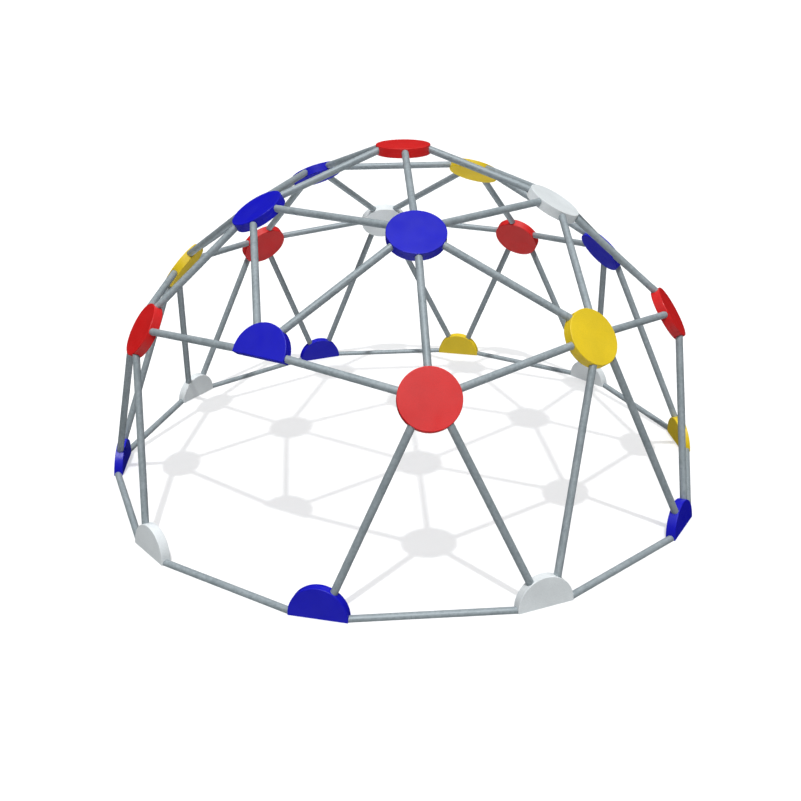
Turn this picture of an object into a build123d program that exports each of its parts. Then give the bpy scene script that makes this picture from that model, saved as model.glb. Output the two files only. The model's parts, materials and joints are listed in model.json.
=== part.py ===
from build123d import *
import os
from math import asin, atan2, cos, degrees, radians, sin, tan

# Dome climber: straight steel tubes that meet in disc-shaped plastic hubs.
# Millimetres, +Z up. The origin is on the ground, on the dome's axis.
# The frame repeats five times about +Z. One sector is modelled and turned into place.
# Sector 0 faces -Y, and the numbers run counter-clockwise seen from above.

# ---------------------------------------------------------------- driving dimensions
SECTORS = 5
SECTOR_ANGLE = 360 / SECTORS

TUBE_RADIUS = 33.7 / 2
TUBE_WALL = 2.6

HUB_RADIUS = 132.0
HUB_THICKNESS = 45.0
HUB_WALL = 3.0
HUB_EDGE_RADIUS = 3.0
HUB_SEAM_CHAMFER = 0.5  # on each cover, where the two meet
HUB_FLAT_DROP = 20.0  # a half hub's flat lies this far below the hub's centre

# Each ring of hubs: distance of its centres from the dome's axis, height above the
# ground, azimuth within the sector, and elevation of the outward normal.
BASE_RADIUS = 1530.0
RINGS = {
    "crown": {"radius": 0.0, "height": 1660.0, "azimuth": 0.0, "elevation": 90.0},
    "upper": {"radius": 732.0, "height": 1426.0, "azimuth": 0.0, "elevation": 60.7},
    "shoulder": {"radius": 1316.0, "height": 918.0, "azimuth": 0.0, "elevation": 33.8},
    "waist": {"radius": 1195.0, "height": 1010.0, "azimuth": 37.8, "elevation": 37.8},
    "base_left": {"radius": BASE_RADIUS, "height": HUB_FLAT_DROP, "azimuth": -18.0, "elevation": 5.9},
    "base_right": {"radius": BASE_RADIUS, "height": HUB_FLAT_DROP, "azimuth": 18.0, "elevation": 5.9},
}
ENTRANCE_SECTOR = 4  # the waist hub here is a half hub, with no tubes below it

# Cover colours, by ring and sector.
COLOURS = {
    "crown": ["red"],
    "upper": ["blue", "white", "yellow", "blue", "blue"],
    "shoulder": ["red", "red", "red", "red", "red"],
    "waist": ["yellow", "blue", "white", "yellow", "blue"],
    "base_left": ["blue", "blue", "white", "blue", "blue"],
    "base_right": ["white", "yellow", "yellow", "white", "white"],
}

# Tubes of one sector. Each runs from a socket of this sector's hub to a socket of a hub
# that is this sector's (0) or the next one's (1). A socket's angle is measured in the
# hub's plane from straight up the dome, clockwise seen from outside.
TUBES = [
    {"group": "crown_tubes", "from": ("crown", 180), "to": ("upper", 0, 0)},
    {"group": "upper_ring_tubes", "from": ("upper", 60), "to": ("upper", 1, -60)},
    {"group": "upper_to_shoulder_tubes", "from": ("upper", 180), "to": ("shoulder", 0, 0)},
    {"group": "upper_to_waist_right_tubes", "from": ("upper", 120), "to": ("waist", 0, -30)},
    {"group": "upper_to_waist_left_tubes", "from": ("waist", 30), "to": ("upper", 1, -120)},
    {"group": "shoulder_to_waist_right_tubes", "from": ("shoulder", 72), "to": ("waist", 0, -90)},
    {"group": "shoulder_to_waist_left_tubes", "from": ("waist", 90), "to": ("shoulder", 1, -72)},
    {"group": "shoulder_to_base_tubes", "from": ("shoulder", -144), "to": ("base_left", 0, 30)},
    {"group": "shoulder_to_base_tubes", "from": ("shoulder", 144), "to": ("base_right", 0, -30)},
    {"group": "waist_to_base_left_tubes", "from": ("waist", -150), "to": ("base_right", 0, 30)},
    {"group": "waist_to_base_right_tubes", "from": ("waist", 150), "to": ("base_left", 1, -30)},
    {"group": "base_ring_tubes", "from": ("base_left", 90), "to": ("base_right", 0, -90)},
    {"group": "base_ring_tubes", "from": ("base_right", 90), "to": ("base_left", 1, -90)},
]

# Hub internals: a steel plate on the hub's mid-plane, one lug to each tube, and a flange
# bolt and nut through each lug.
TUBE_INSET = 8.0  # how far a tube's end lies inside the rim
SOCKET_CLEARANCE = 0.5
PLATE_RADIUS = 78.0
PLATE_THICKNESS = 8.0
PLATE_FLAT_GAP = 6.0  # between a half plate and the half hub's flat
LUG_THICKNESS = 6.0
LUG_WIDTH = 22.0
LUG_REACH = 82.0  # from the rim to the lug's tip
LUG_TIP_RADIUS = 8.0
BOLT_REACH = 67.0  # from the rim to the bolt
PLUG_LENGTH = 25.0
PLUG_CLEARANCE = 0.1
BOLT_RADIUS = 4.0
BOLT_HOLE_RADIUS = 4.3
BOLT_TAIL = 3.0
NUT_CLEARANCE = 0.05
NUT_FLATS = 13.0
NUT_HEIGHT = 6.5
HEAD_HEIGHT = 4.0
FLANGE_RADIUS = 8.5
FLANGE_HEIGHT = 1.3

# Inside the covers: a ring that bears on the plate, and snap pins midway between sockets.
BEARING_RING_RADIUS = 16.0
BEARING_RING_WALL = 3.0
PIN_CIRCLE_RADIUS = 97.0
PIN_RADIUS = 4.0
PIN_ENGAGEMENT = 8.0
PIN_CLEARANCE = 0.1
PIN_SLEEVE_WALL = 3.0

HALF_THICKNESS = HUB_THICKNESS / 2
LUG_LEVEL = PLATE_THICKNESS / 2 + LUG_THICKNESS / 2


# ---------------------------------------------------------------- layout of the dome
def sector_turn(sector):
    """The turn about the dome's axis that carries sector 0 onto another sector."""
    return Location((0, 0, 0), (0, 0, SECTOR_ANGLE * sector))


def hub_plane(ring, sector=0):
    """A hub's mid-plane: +Z outward, +Y up the dome, +X to the right seen from outside."""
    place = RINGS[ring]
    azimuth = radians(-90 + SECTOR_ANGLE * sector + place["azimuth"])
    elevation = radians(place["elevation"])
    centre = (place["radius"] * cos(azimuth), place["radius"] * sin(azimuth), place["height"])
    outward = (cos(azimuth) * cos(elevation), sin(azimuth) * cos(elevation), sin(elevation))
    return Plane(origin=centre, x_dir=(-sin(azimuth), cos(azimuth), 0), z_dir=outward)


def socket_point(ring, sector, angle):
    """The middle of a socket's mouth on a hub's rim."""
    across = HUB_RADIUS * sin(radians(angle))
    up = HUB_RADIUS * cos(radians(angle))
    return hub_plane(ring, sector).from_local_coords(Vector(across, up, 0))


class TubeEnd:
    """One end of a tube at its socket, and how the tube leaves the hub's plane there."""

    def __init__(self, hub, socket, far_socket):
        outward = (far_socket - socket).normalized()
        drop = -outward.dot(hub.z_dir)
        inward = (outward + hub.z_dir * drop) * -1
        self.tilt = asin(drop)
        self.socket = socket
        self.plane = Plane(origin=socket, x_dir=inward, z_dir=hub.z_dir)
        self.tube_face = Plane(origin=socket - outward * TUBE_INSET, z_dir=outward)


def tube_ends(tube, sector=0):
    """Both ends of a tube that starts in the given sector."""
    ring, angle = tube["from"]
    far_ring, shift, far_angle = tube["to"]
    socket = socket_point(ring, sector, angle)
    far_socket = socket_point(far_ring, sector + shift, far_angle)
    near_end = TubeEnd(hub_plane(ring, sector), socket, far_socket)
    far_end = TubeEnd(hub_plane(far_ring, sector + shift), far_socket, socket)
    return near_end, far_end


def tube_is_there(tube, sector):
    """Whether a sector has this tube: the entrance leaves out those below its hub."""
    below_waist_hub = tube["from"][0] == "waist" and abs(tube["from"][1]) > 90
    return not (below_waist_hub and sector % SECTORS == ENTRANCE_SECTOR)


class Hub:
    """A hub of one ring and sector, described where its sector 0 twin stands."""

    def __init__(self, ring, sector):
        self.ring = ring
        self.plane = hub_plane(ring)
        self.turn = sector_turn(sector)
        self.colour = COLOURS[ring][sector]
        self.name = ring if ring == "crown" else f"{ring}_{sector + 1}"
        self.family = ring.split("_")[0]
        self.flat = Plane.XY if self.family == "base" else None
        if ring == "waist" and sector == ENTRANCE_SECTOR:
            self.name = self.family = "entrance"
            self.flat = Plane(origin=self.plane.origin - self.plane.y_dir * HUB_FLAT_DROP,
                              z_dir=self.plane.y_dir)
        self.ends = []
        for tube in TUBES:
            if tube["from"][0] == ring and tube_is_there(tube, sector):
                starts = range(SECTORS) if ring == "crown" else [0]
                self.ends += [tube_ends(tube, start)[0] for start in starts]
            if tube["to"][0] == ring and tube_is_there(tube, sector - tube["to"][1]):
                self.ends.append(tube_ends(tube, -tube["to"][1])[1])
        self.mould = (ring, self.flat is None, len(self.ends))


def all_hubs():
    """Every hub of the dome, from the crown down."""
    hubs = [Hub("crown", 0)]
    for ring in list(RINGS)[1:]:
        hubs += [Hub(ring, sector) for sector in range(SECTORS)]
    return hubs


# ---------------------------------------------------------------- hub pieces, in sector 0
def disc(start, radius, height, flat=None):
    """A disc on a plane, cut along a half hub's flat where there is one."""
    with BuildPart() as body:
        with BuildSketch(start):
            Circle(radius)
        extrude(amount=height)
        if flat:
            split(bisect_by=flat, keep=Keep.TOP)
    return body.part


def pin_points(hub):
    """Places of the snap pins in the hub's plane, midway between neighbouring tubes."""
    sockets = [hub.plane.to_local_coords(end.socket) for end in hub.ends]
    angles = sorted(degrees(atan2(point.X, point.Y)) for point in sockets)
    gaps = list(zip(angles, angles[1:]))
    if hub.flat is None:
        gaps.append((angles[-1], angles[0] + 360))
    middles = [radians((low + high) / 2) for low, high in gaps]
    return [(PIN_CIRCLE_RADIUS * sin(middle), PIN_CIRCLE_RADIUS * cos(middle)) for middle in middles]


def cover(hub, side):
    """One moulded half of a hub, outside (side 1) or inside (side -1) its mid-plane."""
    inner_flat = hub.flat.offset(HUB_WALL) if hub.flat else None
    cavity_depth = HALF_THICKNESS - HUB_WALL
    cavity = disc(hub.plane, HUB_RADIUS - HUB_WALL, side * cavity_depth, inner_flat)
    floor = hub.plane.offset(side * cavity_depth)
    away_from_plate = Axis(hub.plane.origin, hub.plane.z_dir * side)
    with BuildPart() as shell:
        add(disc(hub.plane, HUB_RADIUS, side * HALF_THICKNESS, hub.flat))
        fillet(shell.faces().sort_by(away_from_plate)[-1].edges(), HUB_EDGE_RADIUS)
        chamfer(shell.faces().sort_by(away_from_plate)[0].edges(), HUB_SEAM_CHAMFER)
        add(cavity, mode=Mode.SUBTRACT)
        for end in hub.ends:
            with BuildSketch(end.tube_face.offset(-SOCKET_CLEARANCE)):
                Circle(TUBE_RADIUS + SOCKET_CLEARANCE)
            extrude(amount=4 * TUBE_INSET, mode=Mode.SUBTRACT)
        with BuildSketch(floor):
            Circle(BEARING_RING_RADIUS)
            Circle(BEARING_RING_RADIUS - BEARING_RING_WALL, mode=Mode.SUBTRACT)
        extrude(amount=side * (PLATE_THICKNESS / 2 - cavity_depth))
        if side > 0:
            with BuildSketch(floor):
                with Locations(*pin_points(hub)):
                    Circle(PIN_RADIUS + PIN_CLEARANCE + PIN_SLEEVE_WALL)
                    Circle(PIN_RADIUS + PIN_CLEARANCE, mode=Mode.SUBTRACT)
            extrude(amount=-cavity_depth)
        else:
            with BuildSketch(floor):
                with Locations(*pin_points(hub)):
                    Circle(PIN_RADIUS)
            extrude(amount=cavity_depth + PIN_ENGAGEMENT)
    return shell.part


def core_plate(hub):
    """The steel plate on the hub's mid-plane, with a hole for each lug's bolt."""
    flat = hub.flat.offset(PLATE_FLAT_GAP) if hub.flat else None
    with BuildPart() as plate:
        add(disc(hub.plane.offset(-PLATE_THICKNESS / 2), PLATE_RADIUS, PLATE_THICKNESS, flat))
        for end in hub.ends:
            with BuildSketch(end.plane.offset(-PLATE_THICKNESS)):
                with Locations((BOLT_REACH, 0)):
                    Circle(BOLT_HOLE_RADIUS)
            extrude(amount=2 * PLATE_THICKNESS, mode=Mode.SUBTRACT)
    return plate.part


def lug(end):
    """A tube's end fitting: a plug inside the tube and a bent strap bolted to the plate."""
    plug_face = Vector(TUBE_INSET * cos(end.tilt), 0, TUBE_INSET * sin(end.tilt))
    tube_way = Vector(-cos(end.tilt), 0, -sin(end.tilt))
    bend = LUG_LEVEL / tan(end.tilt)
    with BuildPart() as fitting:
        with BuildSketch(Plane(origin=plug_face, z_dir=tube_way)):
            Circle(TUBE_RADIUS - TUBE_WALL - PLUG_CLEARANCE)
        extrude(amount=PLUG_LENGTH)
        with BuildSketch(Plane.XZ):
            with BuildLine():
                Polyline((0, 0), (bend, LUG_LEVEL), (LUG_REACH, LUG_LEVEL))
            trace(line_width=LUG_THICKNESS)
        extrude(amount=LUG_WIDTH / 2, both=True)
        tip = fitting.faces().sort_by(Axis.X)[-1]
        fillet(tip.edges().filter_by(Axis.Z), LUG_TIP_RADIUS)
        with BuildSketch(Plane.XY):
            with Locations((BOLT_REACH, 0)):
                Circle(BOLT_HOLE_RADIUS)
        extrude(amount=2 * LUG_LEVEL, mode=Mode.SUBTRACT)
    return end.plane.location * fitting.part


def flange_bolt():
    """A hex flange bolt, standing with the underside of its flange at the origin."""
    with BuildPart() as bolt:
        with BuildSketch(Plane.XY):
            Circle(FLANGE_RADIUS)
        extrude(amount=FLANGE_HEIGHT)
        with BuildSketch(Plane.XY.offset(FLANGE_HEIGHT)):
            RegularPolygon(NUT_FLATS / 2, 6, major_radius=False)
        extrude(amount=HEAD_HEIGHT)
        with BuildSketch(Plane.XY):
            Circle(BOLT_RADIUS)
        extrude(amount=-(LUG_THICKNESS + PLATE_THICKNESS + NUT_HEIGHT + BOLT_TAIL))
    return bolt.part


def lug_nut():
    """A hex nut, hanging with its top face at the origin."""
    with BuildPart() as body:
        with BuildSketch(Plane.XY):
            RegularPolygon(NUT_FLATS / 2, 6, major_radius=False)
            Circle(BOLT_RADIUS + NUT_CLEARANCE, mode=Mode.SUBTRACT)
        extrude(amount=-NUT_HEIGHT)
    return body.part


def tube_body(tube):
    """One straight tube of sector 0, from its first socket to its second."""
    near_end, far_end = tube_ends(tube)
    length = (far_end.tube_face.origin - near_end.tube_face.origin).length
    with BuildPart() as body:
        with BuildSketch(near_end.tube_face):
            Circle(TUBE_RADIUS)
            Circle(TUBE_RADIUS - TUBE_WALL, mode=Mode.SUBTRACT)
        extrude(amount=length)
    return body.part


# ---------------------------------------------------------------- placing and writing
def write_piece(name, solids):
    """Gather placed solids into one named node and write it."""
    with BuildPart() as node:
        add(solids)
    node.part.label = name
    export_step(node.part, f"parts/{name}.step")


def write_groups(groups):
    """Write each group of solids under its name."""
    for name, solids in groups.items():
        write_piece(name, solids)


def write_covers(hubs):
    """An outer cover for every hub, and the inner covers by ring and colour."""
    moulds = {}
    inner_groups = {}
    for hub in hubs:
        if hub.mould not in moulds:
            moulds[hub.mould] = cover(hub, side=1), cover(hub, side=-1)
        outer_cover, inner_cover = moulds[hub.mould]
        write_piece(f"{hub.name}_outer_cover", [hub.turn * outer_cover])
        group = f"{hub.family}_inner_covers_{hub.colour}"
        inner_groups.setdefault(group, []).append(hub.turn * inner_cover)
    write_groups(inner_groups)


def write_hub_internals(hubs):
    """Core plates by type, lugs by ring, and all the bolts and nuts."""
    bolt = Location((BOLT_REACH, 0, LUG_LEVEL + LUG_THICKNESS / 2)) * flange_bolt()
    nut = Location((BOLT_REACH, 0, -PLATE_THICKNESS / 2)) * lug_nut()
    moulds = {}
    groups = {}
    for hub in hubs:
        if hub.mould not in moulds:
            moulds[hub.mould] = core_plate(hub), [lug(end) for end in hub.ends]
        plate, lugs = moulds[hub.mould]
        kind = "half" if hub.flat else {5: "five_way", 6: "six_way"}[len(hub.ends)]
        seats = [hub.turn * end.plane.location for end in hub.ends]
        groups.setdefault(f"{kind}_core_plates", []).append(hub.turn * plate)
        groups.setdefault(f"{hub.family}_tube_lugs", []).extend(hub.turn * piece for piece in lugs)
        groups.setdefault("lug_flange_bolts", []).extend(seat * bolt for seat in seats)
        groups.setdefault("lug_nuts", []).extend(seat * nut for seat in seats)
    write_groups(groups)


def write_tubes():
    """The tubes, grouped by the rings that they join."""
    groups = {}
    for tube in TUBES:
        body = tube_body(tube)
        sectors = [sector for sector in range(SECTORS) if tube_is_there(tube, sector)]
        groups.setdefault(tube["group"], []).extend(sector_turn(sector) * body for sector in sectors)
    write_groups(groups)


os.makedirs("parts", exist_ok=True)
dome_hubs = all_hubs()
write_covers(dome_hubs)
write_hub_internals(dome_hubs)
write_tubes()
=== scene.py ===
import json
import math

import bmesh
import bpy
import numpy as np
from mathutils import Matrix, Vector


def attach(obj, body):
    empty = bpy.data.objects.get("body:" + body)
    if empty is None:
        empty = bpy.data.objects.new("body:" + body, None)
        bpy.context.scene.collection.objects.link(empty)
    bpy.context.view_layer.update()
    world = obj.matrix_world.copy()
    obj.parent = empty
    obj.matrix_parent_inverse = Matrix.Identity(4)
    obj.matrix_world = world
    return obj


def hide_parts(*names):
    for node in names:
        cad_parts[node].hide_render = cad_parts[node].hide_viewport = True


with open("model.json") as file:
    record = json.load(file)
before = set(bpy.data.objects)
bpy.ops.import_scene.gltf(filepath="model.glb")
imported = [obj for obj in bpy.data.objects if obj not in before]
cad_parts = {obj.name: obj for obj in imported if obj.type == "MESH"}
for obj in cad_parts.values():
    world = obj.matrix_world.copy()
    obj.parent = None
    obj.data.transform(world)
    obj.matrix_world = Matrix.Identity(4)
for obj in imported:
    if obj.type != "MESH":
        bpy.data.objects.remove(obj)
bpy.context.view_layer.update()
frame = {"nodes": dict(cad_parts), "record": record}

# The looks of a dome climber, in metres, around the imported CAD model: +Z up, the ground at
# z = 0 and the dome's axis at x = y = 0.

# ---------------------------------------------------------------- camera and light
CAMERA_AZIMUTH = -4.16  # degrees, 0 looks along +Y
CAMERA_ELEVATION = 24.19
CAMERA_ROLL = -0.49
CAMERA_DISTANCE = 5.440
CAMERA_TARGET = (0.0, 0.0, 0.323)
CAMERA_LENS = 45.53
CAMERA_SHIFT_X = -0.0060
CAMERA_SHIFT_Y = 0.0008

SUN_TRAVEL = (0.041, 0.428, -1.0)
SUN_STRENGTH = 1.85
SUN_SPREAD = 1.5  # degrees
# Places and brightness of the studio's light: 0 is straight down, 0.5 level and 1 straight up.
STUDIO_LIGHT = [(0.0, 2.15), (0.3, 0.24), (0.5, 0.04), (0.7, 0.16), (1.0, 1.52)]
STUDIO_TINT = (0.98, 1.0, 1.02)

FLOOR_SIZE = 400.0
FLOOR_HEIGHT = 0.0147  # the floor hides this much of the half hubs' feet
FLOOR_ALBEDO = 0.58
FLOOR_GLOW = 0.415  # with the albedo, it turns the lit floor white and its shadows pale grey
BACKDROP_RADIUS = 150.0
BACKDROP_GLOW = 1.05

# ---------------------------------------------------------------- colours
PLASTICS = {
    "red_plastic": {"colour": (0.72, 0.012, 0.012), "chalk": (0.75, 0.050, 0.045)},
    "blue_plastic": {"colour": (0.004, 0.004, 0.54), "chalk": (0.018, 0.020, 0.62)},
    "yellow_plastic": {"colour": (0.84, 0.60, 0.014), "chalk": (0.88, 0.68, 0.08)},
    "white_plastic": {"colour": (0.78, 0.82, 0.83), "chalk": (0.84, 0.86, 0.86)},
}
STEELS = {
    "plate_steel": {"colour": (0.42, 0.44, 0.45), "roughness": 0.45, "cell_scale": 140.0},
    "zinc_fasteners": {"colour": (0.55, 0.56, 0.57), "roughness": 0.28, "cell_scale": 900.0},
}
ZINC_DARK = (0.290, 0.345, 0.370)
ZINC_LIGHT = (0.410, 0.465, 0.490)

# ---------------------------------------------------------------- scales of the surface detail, per metre
PLASTIC_CLOUDS = 7.0
PLASTIC_FADING = 11.0
PLASTIC_SMEARS = 16.0
PLASTIC_RUBBED_PATCHES = 40.0
PLASTIC_GRAIN = 260.0
PLASTIC_PEBBLES = 420.0
SCRATCH_STRETCH = (650.0, 14.0, 40.0)
ZINC_CLOUDS = 9.0
ZINC_STAINS = 28.0
ZINC_SPANGLE = 95.0
ZINC_PITS = 500.0
ZINC_STREAK_STRETCH = (520.0, 3.0, 1.0)  # round the tube and along it
STEEL_SMUDGES = 90.0
STEEL_PITS = 700.0

# ---------------------------------------------------------------- tube mesh
TUBE_SEGMENTS = 48
TUBE_RING_STEP = 0.040
TUBE_EDGE_RADIUS = 0.0008
WELD_HEIGHT = 0.00015
WELD_WIDTH = 0.0016


# ---------------------------------------------------------------- node helpers
class Shader:
    """A material's node tree, with short calls for the nodes that the materials share."""

    def __init__(self, name):
        self.material = bpy.data.materials.new(name)
        self.material.use_nodes = True
        self.tree = self.material.node_tree
        self.surface = self.tree.nodes["Principled BSDF"]
        self.place = self.tree.nodes.new("ShaderNodeTexCoord")
        self.geometry = self.tree.nodes.new("ShaderNodeNewGeometry")

    def link(self, source, target):
        self.tree.links.new(source, target)

    def set(self, socket, value):
        self.surface.inputs[socket].default_value = value

    def feed(self, socket, source):
        self.link(source, self.surface.inputs[socket])

    def stretched(self, coordinates, scale, turn=(0, 0, 0)):
        """Coordinates turned by some degrees and scaled differently along each axis."""
        mapping = self.tree.nodes.new("ShaderNodeMapping")
        mapping.inputs["Rotation"].default_value = [math.radians(angle) for angle in turn]
        mapping.inputs["Scale"].default_value = scale
        self.link(coordinates, mapping.inputs["Vector"])
        return mapping.outputs["Vector"]

    def noise(self, scale, detail=3.0, coordinates=None):
        """Smooth noise; scale is in blobs per metre."""
        node = self.tree.nodes.new("ShaderNodeTexNoise")
        node.inputs["Scale"].default_value = scale
        node.inputs["Detail"].default_value = detail
        self.link(coordinates or self.place.outputs["Object"], node.inputs["Vector"])
        return node.outputs["Fac"]

    def scratches(self, turn):
        """1 on sparse, gently curved scratches that run in one general direction."""
        place = self.stretched(self.place.outputs["Object"], SCRATCH_STRETCH, turn)
        node = self.tree.nodes.new("ShaderNodeTexNoise")
        node.inputs["Scale"].default_value = 1.0
        node.inputs["Distortion"].default_value = 1.6
        self.link(place, node.inputs["Vector"])
        return self.spread(node.outputs["Fac"], 0.68, 0.74)

    def cells(self, scale):
        """Random colours, one to a cell; scale is in cells per metre."""
        node = self.tree.nodes.new("ShaderNodeTexVoronoi")
        node.inputs["Scale"].default_value = scale
        self.link(self.place.outputs["Object"], node.inputs["Vector"])
        return node.outputs["Color"]

    def brightness(self, colour):
        """A colour's grey level."""
        node = self.tree.nodes.new("ShaderNodeRGBToBW")
        self.link(colour, node.inputs[0])
        return node.outputs[0]

    def spread(self, source, low, high, to_low=0.0, to_high=1.0):
        """A value stretched from low..high to a new range, and held inside it."""
        node = self.tree.nodes.new("ShaderNodeMapRange")
        node.inputs["From Min"].default_value = low
        node.inputs["From Max"].default_value = high
        node.inputs["To Min"].default_value = to_low
        node.inputs["To Max"].default_value = to_high
        self.link(source, node.inputs["Value"])
        return node.outputs["Result"]

    def combine(self, operation, first, second):
        """Arithmetic on two values; the second may be a number."""
        node = self.tree.nodes.new("ShaderNodeMath")
        node.operation = operation
        self.link(first, node.inputs[0])
        if isinstance(second, (int, float)):
            node.inputs[1].default_value = second
        else:
            self.link(second, node.inputs[1])
        return node.outputs[0]

    def mixed(self, amount, first, second):
        """A colour between two, each a colour or another node's output."""
        node = self.tree.nodes.new("ShaderNodeMix")
        node.data_type = "RGBA"
        self.link(amount, node.inputs["Factor"])
        for socket, colour in ((node.inputs[6], first), (node.inputs[7], second)):
            if isinstance(colour, tuple):
                socket.default_value = (*colour, 1.0)
            else:
                self.link(colour, socket)
        return node.outputs[2]

    def upward(self):
        """1 on faces that look straight up, 0 on upright ones and undersides."""
        parts = self.tree.nodes.new("ShaderNodeSeparateXYZ")
        self.link(self.geometry.outputs["Normal"], parts.inputs[0])
        return self.spread(parts.outputs["Z"], 0.0, 1.0)

    def edges(self, radius):
        """1 along sharp edges, within about the given radius, and 0 on open faces."""
        bevel = self.tree.nodes.new("ShaderNodeBevel")
        bevel.samples = 4
        bevel.inputs["Radius"].default_value = radius
        compare = self.tree.nodes.new("ShaderNodeVectorMath")
        compare.operation = "DOT_PRODUCT"
        self.link(bevel.outputs["Normal"], compare.inputs[0])
        self.link(self.geometry.outputs["Normal"], compare.inputs[1])
        return self.spread(compare.outputs["Value"], 0.97, 0.80)

    def bump(self, height, distance, strength, under=None):
        """A bumped normal; under is a coarser bump that this one lies on."""
        node = self.tree.nodes.new("ShaderNodeBump")
        node.inputs["Distance"].default_value = distance
        node.inputs["Strength"].default_value = strength
        self.link(height, node.inputs["Height"])
        if under:
            self.link(under, node.inputs["Normal"])
        return node.outputs["Normal"]


def shade(colour, factor):
    """A colour made lighter or darker."""
    return tuple(channel * factor for channel in colour)


# ---------------------------------------------------------------- materials
def moulded_plastic(name, colour, chalk):
    """Glossy moulded plastic: sun-faded on top, finely pebbled, scratched and rubbed at its edges."""
    shader = Shader(name)
    clouds = shader.spread(shader.noise(PLASTIC_CLOUDS, detail=4.0), 0.3, 0.7)
    body = shader.mixed(clouds, shade(colour, 0.93), shade(colour, 1.06))
    grain = shader.spread(shader.noise(PLASTIC_GRAIN, detail=2.0), 0.42, 0.62, 0.0, 0.22)
    body = shader.mixed(grain, body, shade(colour, 0.70))
    fading = shader.spread(shader.noise(PLASTIC_FADING), 0.35, 0.75, 0.02, 0.12)
    body = shader.mixed(shader.combine("MULTIPLY", shader.upward(), fading), body, chalk)
    scratches = shader.combine("MAXIMUM", shader.scratches((35, 50, 20)), shader.scratches((-60, 15, 75)))
    body = shader.mixed(shader.combine("MULTIPLY", scratches, 0.25), body, chalk)
    rub_patches = shader.spread(shader.noise(PLASTIC_RUBBED_PATCHES), 0.42, 0.62, 0.0, 0.30)
    rub = shader.combine("MULTIPLY", shader.edges(0.0025), rub_patches)
    shader.feed("Base Color", shader.mixed(rub, body, chalk))
    smears = shader.spread(shader.noise(PLASTIC_SMEARS, detail=5.0), 0.3, 0.7, 0.34, 0.46)
    shader.feed("Roughness", shader.combine("ADD", smears, shader.combine("MULTIPLY", scratches, 0.15)))
    pebble = shader.bump(shader.noise(PLASTIC_PEBBLES), 0.0008, 0.50)
    shader.feed("Normal", shader.bump(scratches, 0.0001, -0.6, under=pebble))
    shader.set("Specular IOR Level", 0.50)
    return shader.material


def galvanised_tube():
    """Satin zinc on drawn tube: spangle, streaks along the tube and dulled patches."""
    shader = Shader("galvanised_tube")
    spangle = shader.brightness(shader.cells(ZINC_SPANGLE))
    clouds = shader.noise(ZINC_CLOUDS, detail=4.0)
    tone = shader.combine("ADD", shader.combine("MULTIPLY", spangle, 0.45),
                          shader.combine("MULTIPLY", clouds, 0.55))
    body = shader.mixed(shader.spread(tone, 0.25, 0.75), ZINC_DARK, ZINC_LIGHT)
    streak_place = shader.stretched(shader.place.outputs["UV"], ZINC_STREAK_STRETCH)
    streaks = shader.noise(1.0, detail=5.0, coordinates=streak_place)
    body = shader.mixed(shader.spread(streaks, 0.45, 0.8, 0.0, 0.45), body, shade(ZINC_LIGHT, 1.18))
    stains = shader.spread(shader.noise(ZINC_STAINS, detail=5.0), 0.58, 0.78, 0.0, 0.35)
    shader.feed("Base Color", shader.mixed(stains, body, shade(ZINC_DARK, 0.72)))
    dull = shader.spread(clouds, 0.35, 0.7, 0.50, 0.62)
    shader.feed("Roughness", shader.combine("ADD", dull, shader.spread(spangle, 0.2, 0.8, -0.05, 0.05)))
    drawn = shader.bump(streaks, 0.0001, 0.5)
    shader.feed("Normal", shader.bump(shader.noise(ZINC_PITS), 0.0001, 0.3, under=drawn))
    shader.set("Metallic", 0.25)
    return shader.material


def plain_steel(name, colour, roughness, cell_scale):
    """Galvanised plate and plated fasteners, which the covers hide."""
    shader = Shader(name)
    spangle = shader.brightness(shader.cells(cell_scale))
    shader.feed("Base Color", shader.mixed(spangle, shade(colour, 0.85), shade(colour, 1.1)))
    smudge = shader.spread(shader.noise(STEEL_SMUDGES), 0.3, 0.7, roughness - 0.07, roughness + 0.10)
    shader.feed("Roughness", smudge)
    shader.feed("Normal", shader.bump(shader.noise(STEEL_PITS), 0.00005, 0.4))
    shader.set("Metallic", 0.9)
    return shader.material


def floor_material():
    """A plain white floor that keeps soft shadows."""
    shader = Shader("studio_floor")
    shader.set("Base Color", (FLOOR_ALBEDO, FLOOR_ALBEDO, FLOOR_ALBEDO, 1.0))
    shader.set("Roughness", 0.9)
    shader.set("Specular IOR Level", 0.0)
    shader.set("Emission Color", (1.0, 1.0, 1.0, 1.0))
    shader.set("Emission Strength", FLOOR_GLOW)
    return shader.material


def make_materials():
    """One material for each of the record's slots."""
    materials = {slot: moulded_plastic(slot, **looks) for slot, looks in PLASTICS.items()}
    materials["galvanised_tube"] = galvanised_tube()
    for slot, looks in STEELS.items():
        materials[slot] = plain_steel(slot, **looks)
    return materials


def dress_cad_nodes(materials):
    """Give each CAD node the material of its slot."""
    for subpart in frame["record"]["subparts"]:
        for slot in frame["nodes"][subpart["node"]].material_slots:
            slot.material = materials[subpart["material_slot"]]


# ---------------------------------------------------------------- tubes
def separate_solids(node):
    """The vertices of each separate solid in a CAD node, as arrays of points."""
    mesh = frame["nodes"][node].data
    points = np.array([vertex.co for vertex in mesh.vertices])
    places = {}
    merged = [places.setdefault(tuple(np.round(point, 6)), len(places)) for point in points]
    leader = list(range(len(places)))

    def find(item):
        while leader[item] != item:
            leader[item] = leader[leader[item]]
            item = leader[item]
        return item

    for edge in mesh.edges:
        leader[find(merged[edge.vertices[0]])] = find(merged[edge.vertices[1]])
    groups = {}
    for item, point in zip(merged, points):
        groups.setdefault(find(item), []).append(point)
    return [np.array(group) for group in groups.values()]


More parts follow.
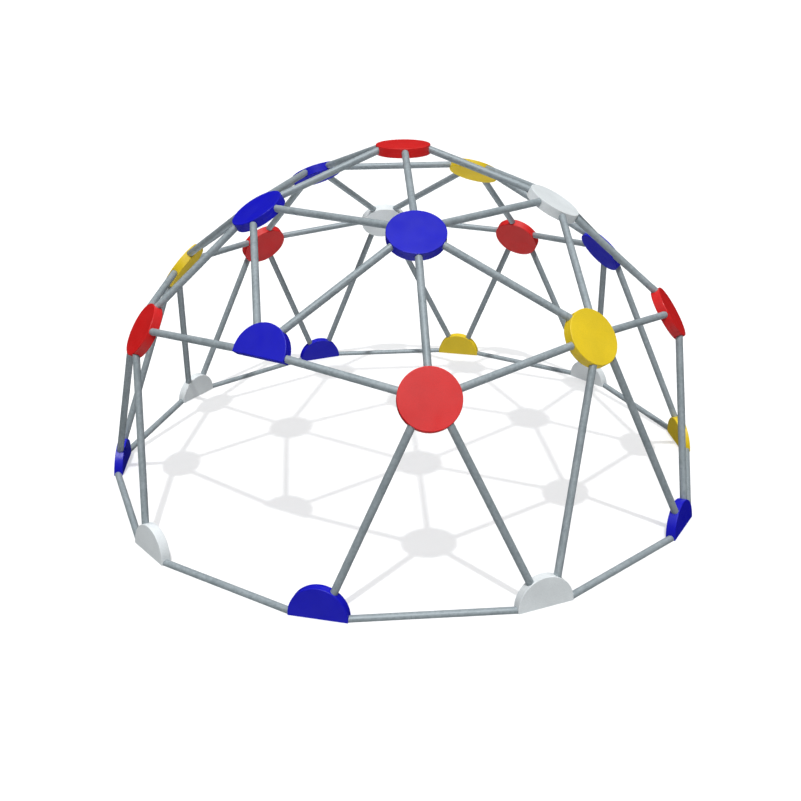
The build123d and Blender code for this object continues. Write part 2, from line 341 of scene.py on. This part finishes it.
def tube_axis(points):
    """Start, direction, length, and outer and inner radius of a straight tube."""
    centre = (points.min(0) + points.max(0)) / 2
    direction = np.linalg.svd(points - points.mean(0), full_matrices=False)[2][0]
    along = (points - centre) @ direction
    across = points - centre - np.outer(along, direction)
    distance = np.linalg.norm(across, axis=1)
    start = centre + direction * along.min()
    return start, direction, along.max() - along.min(), distance.max(), distance.min()


def tube_profile(length, outer, inner):
    """Radius and distance along the tube, from the near bore out, along and back in."""
    corner = TUBE_EDGE_RADIUS
    turns = [math.radians(angle) for angle in (0, 30, 60, 90)]
    near = [(outer - corner * (1 - math.sin(turn)), corner * (1 - math.cos(turn))) for turn in turns]
    steps = max(2, round(length / TUBE_RING_STEP))
    wall = [(outer, corner + (length - 2 * corner) * step / steps) for step in range(1, steps)]
    far = [(radius, length - place) for radius, place in reversed(near)]
    return [(inner, 0.0), *near, *wall, *far, (inner, length)]


def weld_rise(angle, outer):
    """The height of the tube's lengthwise weld above its wall, at an angle round it."""
    around = (angle + math.pi) % math.tau - math.pi
    reach = around * outer / WELD_WIDTH
    return WELD_HEIGHT * math.exp(-reach * reach)


def add_ring(mesh, place, radius, along, outer, welded):
    """A ring of vertices round a tube, lifted over its weld on the outside."""
    ring = []
    for segment in range(TUBE_SEGMENTS):
        angle = math.tau * segment / TUBE_SEGMENTS
        reach = radius + weld_rise(angle, outer) if welded else radius
        point = Vector((reach * math.cos(angle), reach * math.sin(angle), along))
        ring.append(mesh.verts.new(place @ point))
    return ring


def add_skin(mesh, uv_layer, low, high, low_level, high_level, outer):
    """Smooth faces between two rings, with UVs in metres round the tube and along it."""
    for segment in range(TUBE_SEGMENTS):
        following = (segment + 1) % TUBE_SEGMENTS
        face = mesh.faces.new((low[segment], low[following], high[following], high[segment]))
        face.smooth = True
        arcs = (segment, segment + 1, segment + 1, segment)
        levels = (low_level, low_level, high_level, high_level)
        for loop, arc, level in zip(face.loops, arcs, levels):
            loop[uv_layer].uv = (math.tau * outer * arc / TUBE_SEGMENTS, level)


def tube_mesh(name, tubes):
    """One mesh of hollow tubes."""
    mesh = bmesh.new()
    uv_layer = mesh.loops.layers.uv.new("UVMap")
    for start, direction, length, outer, inner in tubes:
        turn = Vector(direction).to_track_quat("Z", "X").to_matrix().to_4x4()
        place = Matrix.Translation(Vector(start)) @ turn
        profile = tube_profile(length, outer, inner)
        rings = [add_ring(mesh, place, radius, along, outer, radius > inner) for radius, along in profile]
        for low in range(len(rings)):
            high = (low + 1) % len(rings)
            add_skin(mesh, uv_layer, rings[low], rings[high], profile[low][1], profile[high][1], outer)
    bmesh.ops.recalc_face_normals(mesh, faces=mesh.faces)
    data = bpy.data.meshes.new(name)
    mesh.to_mesh(data)
    mesh.free()
    return data


def make_tubes(materials):
    """A finely rounded piece for each group of tubes, in place of the CAD node."""
    for node in [name for name in frame["nodes"] if name.endswith("_tubes")]:
        tubes = [tube_axis(points) for points in separate_solids(node)]
        piece = bpy.data.objects.new(f"fine_{node}", tube_mesh(f"fine_{node}", tubes))
        bpy.context.scene.collection.objects.link(piece)
        piece.data.materials.append(materials["galvanised_tube"])
        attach(piece, "root")
        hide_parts(node)


# ---------------------------------------------------------------- stage
def make_camera():
    """The camera, aimed at the dome's middle from in front and above."""
    azimuth = math.radians(CAMERA_AZIMUTH)
    elevation = math.radians(CAMERA_ELEVATION)
    back = Vector((math.sin(azimuth) * math.cos(elevation), -math.cos(azimuth) * math.cos(elevation),
                   math.sin(elevation)))
    right = Vector((math.cos(azimuth), math.sin(azimuth), 0.0))
    roll = Matrix.Rotation(math.radians(CAMERA_ROLL), 3, back)
    right = roll @ right
    up = back.cross(right)
    data = bpy.data.cameras.new("camera")
    data.lens = CAMERA_LENS
    data.shift_x = CAMERA_SHIFT_X
    data.shift_y = CAMERA_SHIFT_Y
    camera = bpy.data.objects.new("camera", data)
    turn = Matrix((right, up, back)).transposed()
    camera.matrix_world = Matrix.Translation(Vector(CAMERA_TARGET) + back * CAMERA_DISTANCE) @ turn.to_4x4()
    bpy.context.scene.collection.objects.link(camera)
    bpy.context.scene.camera = camera


def make_sun():
    """A high lamp from the front."""
    data = bpy.data.lights.new("sun", "SUN")
    data.energy = SUN_STRENGTH
    data.angle = math.radians(SUN_SPREAD)
    sun = bpy.data.objects.new("sun", data)
    sun.rotation_mode = "QUATERNION"
    sun.rotation_quaternion = Vector(SUN_TRAVEL).to_track_quat("-Z", "Y")
    bpy.context.scene.collection.objects.link(sun)


def make_studio():
    """Pale light from all round, strongest from overhead and underfoot, and absent from reflections."""
    world = bpy.data.worlds.new("studio")
    world.use_nodes = True
    tree = world.node_tree
    direction = tree.nodes.new("ShaderNodeTexCoord")
    parts = tree.nodes.new("ShaderNodeSeparateXYZ")
    height = tree.nodes.new("ShaderNodeMapRange")
    height.inputs["From Min"].default_value = -1.0
    ramp = tree.nodes.new("ShaderNodeValToRGB")
    stops = ramp.color_ramp.elements
    lowest, *between, highest = STUDIO_LIGHT
    stops[0].color = (*shade(STUDIO_TINT, lowest[1]), 1.0)
    stops[1].color = (*shade(STUDIO_TINT, highest[1]), 1.0)
    for place, light in between:
        stops.new(place).color = (*shade(STUDIO_TINT, light), 1.0)
    tree.links.new(direction.outputs["Generated"], parts.inputs[0])
    tree.links.new(parts.outputs["Z"], height.inputs["Value"])
    tree.links.new(height.outputs["Result"], ramp.inputs["Fac"])
    tree.links.new(ramp.outputs["Color"], tree.nodes["Background"].inputs["Color"])
    world.cycles_visibility.glossy = False
    bpy.context.scene.world = world


def make_floor():
    """A wide plain floor that catches shadows, but isn't lit into the object or reflected in it."""
    half = FLOOR_SIZE / 2
    data = bpy.data.meshes.new("floor")
    level = FLOOR_HEIGHT
    corners = [(-half, -half, level), (half, -half, level), (half, half, level), (-half, half, level)]
    data.from_pydata(corners, [], [(0, 1, 2, 3)])
    data.materials.append(floor_material())
    floor = bpy.data.objects.new("floor", data)
    floor.visible_diffuse = False
    floor.visible_glossy = False
    bpy.context.scene.collection.objects.link(floor)


def make_backdrop():
    """A white dome around the studio that is only seen, and neither lights nor shades anything."""
    shader = Shader("backdrop")
    shader.set("Base Color", (0.0, 0.0, 0.0, 1.0))
    shader.set("Specular IOR Level", 0.0)
    shader.set("Emission Color", (1.0, 1.0, 1.0, 1.0))
    shader.set("Emission Strength", BACKDROP_GLOW)
    mesh = bmesh.new()
    bmesh.ops.create_uvsphere(mesh, u_segments=48, v_segments=24, radius=BACKDROP_RADIUS)
    data = bpy.data.meshes.new("backdrop")
    mesh.to_mesh(data)
    mesh.free()
    data.materials.append(shader.material)
    backdrop = bpy.data.objects.new("backdrop", data)
    backdrop.visible_diffuse = False
    backdrop.visible_glossy = False
    backdrop.visible_transmission = False
    backdrop.visible_shadow = False
    bpy.context.scene.collection.objects.link(backdrop)


bpy.context.scene.view_settings.view_transform = "Standard"
make_camera()
make_sun()
make_studio()
make_floor()
make_backdrop()
all_materials = make_materials()
dress_cad_nodes(all_materials)
make_tubes(all_materials)
